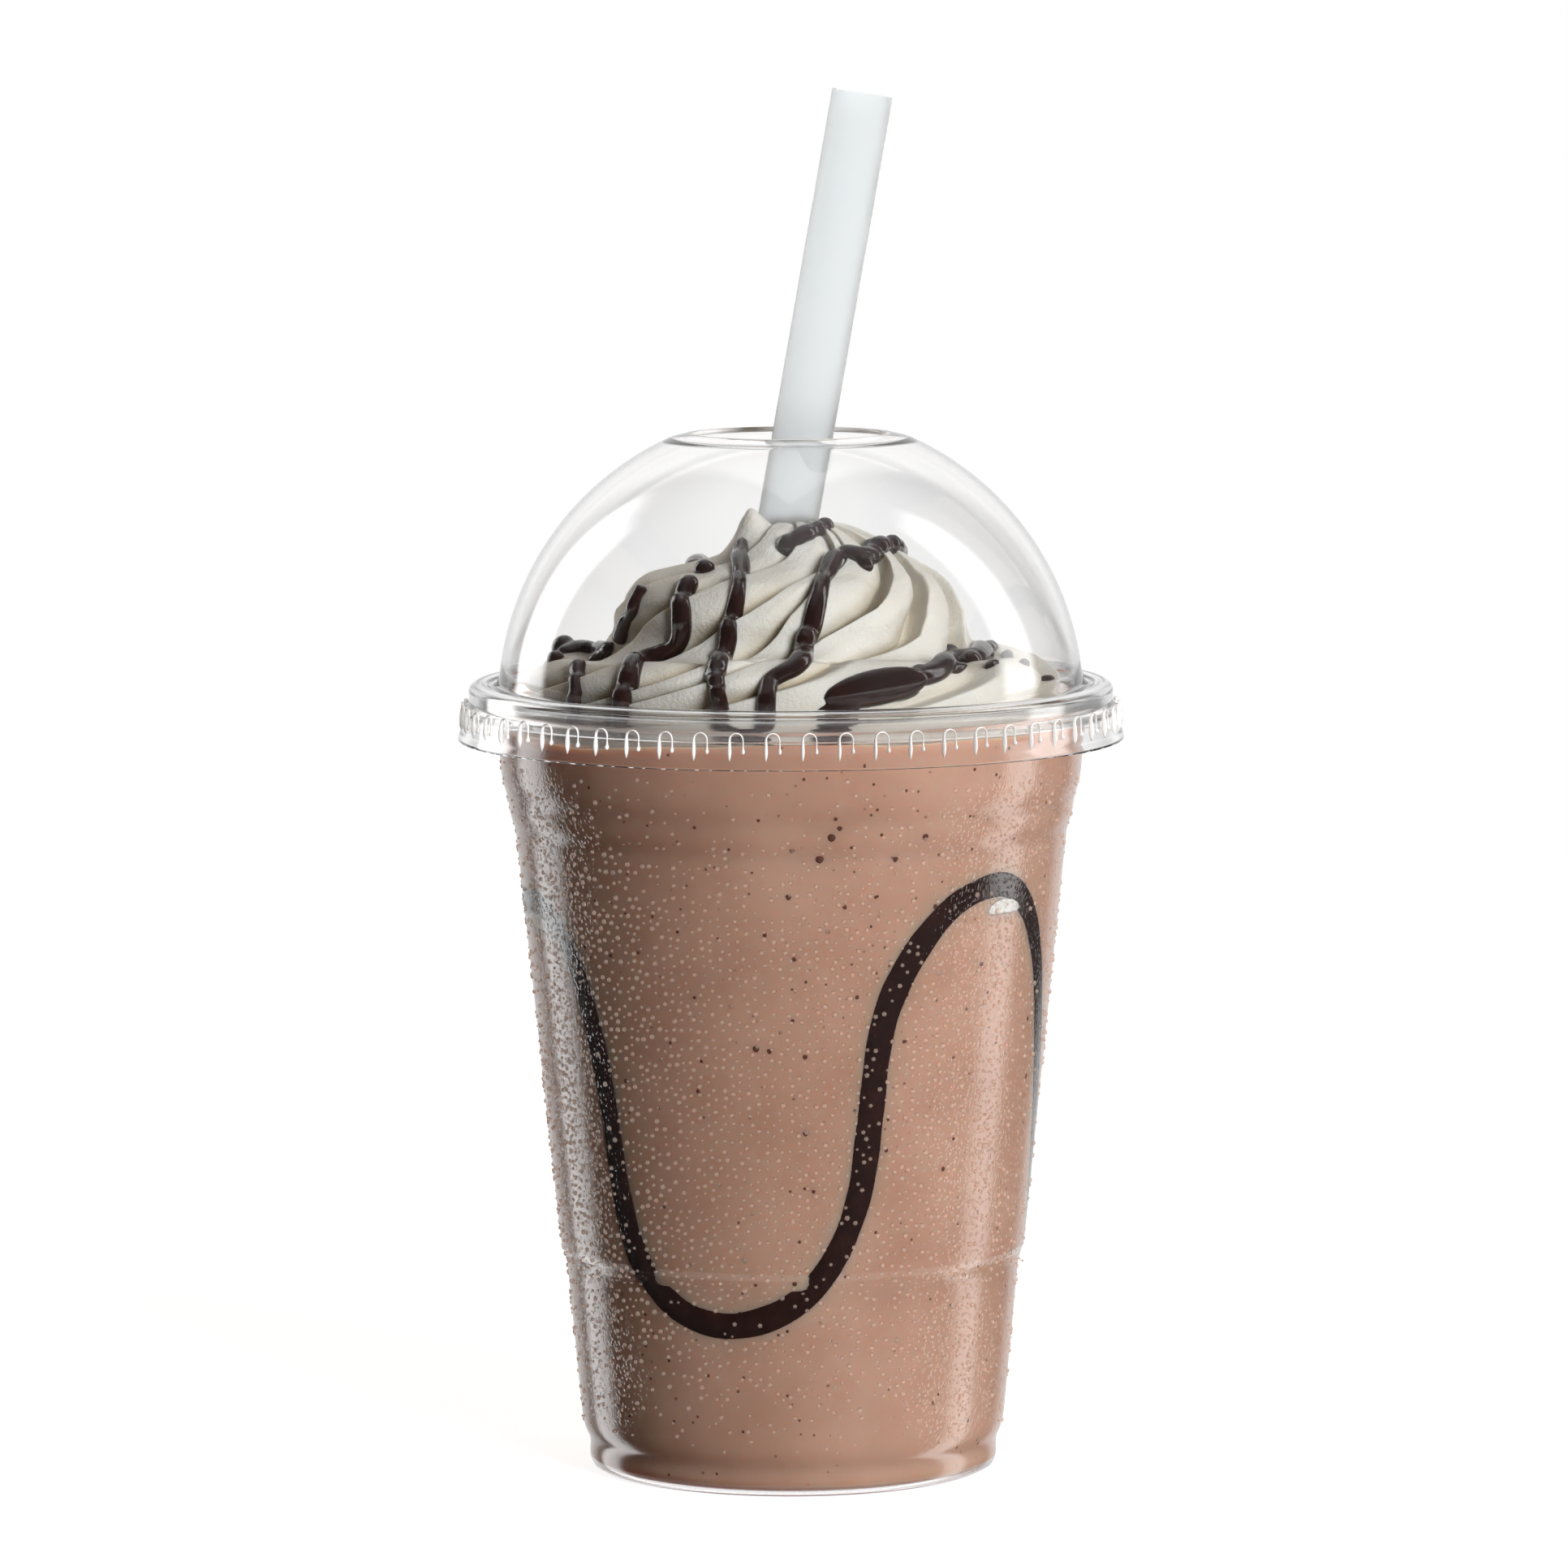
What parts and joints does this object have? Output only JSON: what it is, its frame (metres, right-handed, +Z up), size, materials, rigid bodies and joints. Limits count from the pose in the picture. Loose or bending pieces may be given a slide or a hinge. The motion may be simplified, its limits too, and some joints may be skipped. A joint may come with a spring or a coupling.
{
  "type": "chocolate milkshake",
  "caption": "Chocolate milkshake in a clear plastic cup with a domed lid, a straw, whipped cream and chocolate sauce",
  "frame": {"origin": "middle of the cup's base, on the surface that it stands on", "axes": "+Z up along the cup's axis, -Y the front that faces the viewer, +X to the viewer's right, where the straw leans"},
  "size_m": [0.103, 0.1028, 0.213],
  "materials": {
    "clear_plastic": "gloss",
    "straw_plastic": "satin",
    "milkshake": "satin",
    "cream": "satin",
    "chocolate_sauce": "gloss"
  },
  "bodies": {
    "root": {"cup": "clear_plastic", "dome_lid": "clear_plastic", "straw": "straw_plastic", "milkshake": "milkshake", "sauce_ribbon": "chocolate_sauce", "whipped_cream": "cream"}
  },
  "joints": []
}
